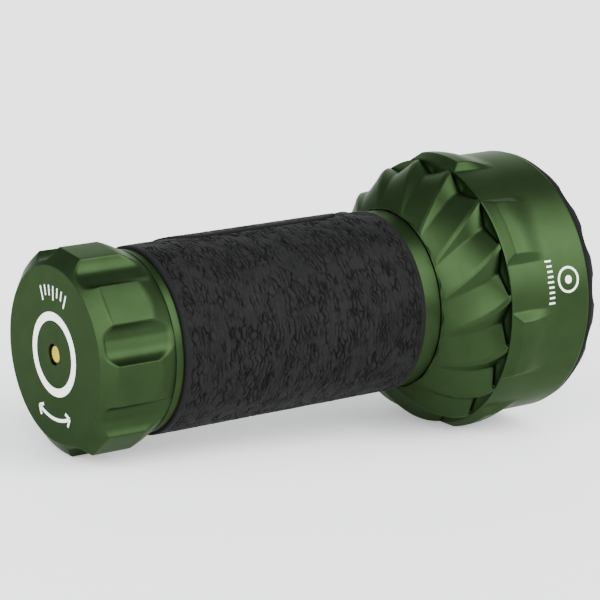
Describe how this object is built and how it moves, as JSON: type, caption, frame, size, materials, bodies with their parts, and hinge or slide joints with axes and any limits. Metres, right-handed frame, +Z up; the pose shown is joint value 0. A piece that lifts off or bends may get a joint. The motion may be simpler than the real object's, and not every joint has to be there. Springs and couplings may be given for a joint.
{
  "type": "tactical flashlight",
  "caption": "Handheld tactical flashlight: fluted screw-off tail cap with charging contact, wrapped grip, finned head, scalloped bezel and side switch.",
  "frame": {"origin": "middle of the light's footprint on the surface it lies on", "axes": "+X along the floor in the beam's direction, +Z up; the beam axis rises 4.90 degrees from +X towards +Z because the head is wider than the tail cap"},
  "size_m": [0.1398, 0.0702, 0.069],
  "materials": {
    "green_anodised": "satin olive green hard anodising",
    "black_anodised": "satin black hard anodising",
    "grip_rubber": "black leather-grained rubber",
    "grip_panel_rubber": "smooth matt black rubber",
    "seal_rubber": "matt black silicone rubber",
    "white_insulator": "white moulded plastic",
    "black_plastic": "black moulded plastic",
    "carrier_plastic": "dark grey glass-filled plastic",
    "gold_plate": "gold plate over copper alloy",
    "brass": "turned brass",
    "nickel": "nickel plate",
    "steel": "bright steel",
    "cell_wrap": null,
    "circuit_board": "green solder mask over glass-fibre board",
    "white_board": "white solder mask over a copper core board",
    "red_wire": "silicone wire insulation",
    "phosphor": "yellow phosphor over the emitter",
    "reflector_mirror": "vacuum-plated aluminium",
    "lens_glass": "coated toughened glass",
    "button_metal": "satin grey anodising",
    "indicator_plastic": "translucent light pipe"
  },
  "bodies": {
    "light": {"body_tube": "green_anodised", "grip_sleeve": "grip_rubber", "grip_panel": "grip_panel_rubber", "battery_cell_1": "cell_wrap", "battery_cell_2": "cell_wrap", "battery_cell_3": "cell_wrap", "rear_cell_carrier": "carrier_plastic", "front_cell_carrier": "carrier_plastic", "cell_tie_rods": "steel", "rear_contact_plate": "gold_plate", "front_contact_plate": "gold_plate", "cell_tabs": "nickel", "head_housing": "green_anodised", "head_seal": "seal_rubber", "driver_spring": "gold_plate", "driver_board": "circuit_board", "driver_components": "black_plastic", "driver_retainer": "brass", "led_wires": "red_wire", "led_board": "white_board", "leds": "phosphor", "led_board_screws": "steel", "led_spacers": "white_insulator", "reflector": "reflector_mirror", "lens": "lens_glass", "lens_seal": "seal_rubber", "lens_gasket": "seal_rubber", "bezel": "black_anodised", "bezel_seal": "seal_rubber", "switch_boot": "seal_rubber", "switch_dome": "nickel", "switch_board": "circuit_board", "switch_bezel": "black_anodised", "indicator_ring": "indicator_plastic", "switch_wires": "red_wire"},
    "cap_seal": {"tail_seal": "seal_rubber"},
    "tail_cap": {"tail_cap": "green_anodised", "charge_ring": "white_insulator", "contact_pin": "gold_plate", "pin_insulator": "black_plastic", "charge_magnet": "nickel", "tail_board": "circuit_board", "tail_board_retainer": "brass", "tail_spring": "gold_plate"},
    "switch_button": {"switch_button": "button_metal"}
  },
  "joints": [
    {"name": "tail_cap_travel", "type": "slide", "parent": "light", "child": "cap_seal", "axis": [-0.9963, 0, -0.0854], "range_m": [0, 0.012]},
    {"name": "tail_cap_turn", "type": "hinge", "parent": "cap_seal", "child": "tail_cap", "pos_m": [-0.06814, 0, 0.02432], "axis": [-0.9963, 0, -0.0854], "range_deg": [0, 2160]},
    {"name": "switch_press", "type": "slide", "parent": "light", "child": "switch_button", "axis": [0.019, -0.9749, -0.2218], "range_m": [0, 0.0008], "stiffness_N_per_m": 1500, "springref_m": -0.001, "deforming": ["switch_boot", "switch_dome"]}
  ],
  "couplings": [
    {"joint": "tail_cap_travel", "follows": "tail_cap_turn", "m_per_rad": 0.00031831}
  ]
}
